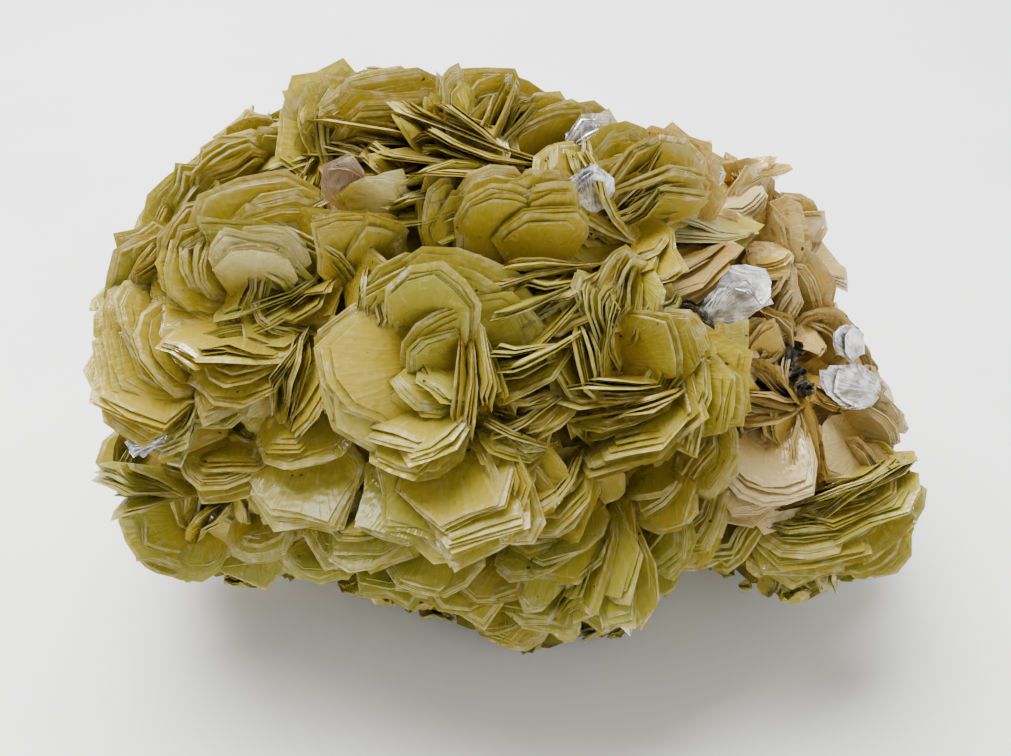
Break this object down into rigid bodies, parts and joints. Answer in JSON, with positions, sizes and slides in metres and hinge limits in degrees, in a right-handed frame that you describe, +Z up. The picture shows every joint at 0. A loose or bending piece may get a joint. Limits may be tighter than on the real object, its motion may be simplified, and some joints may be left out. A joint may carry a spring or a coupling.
{
  "type": "mica crystal cluster",
  "caption": "Loose hand specimen of yellow mica: books of thin six-sided plates fan out of one intergrown mass, with a small flat patch beneath that it rests on.",
  "frame": {"origin": "on the resting face, under the middle of the specimen", "axes": "+X to the right along its longest side, +Y away from the viewer of the picture, +Z up"},
  "size_m": [0.1155, 0.0855, 0.0824],
  "materials": {
    "mica": "pearly, translucent yellow-olive plates with pale edges"
  },
  "bodies": {
    "root": {"mica_cluster": "mica"}
  },
  "joints": []
}
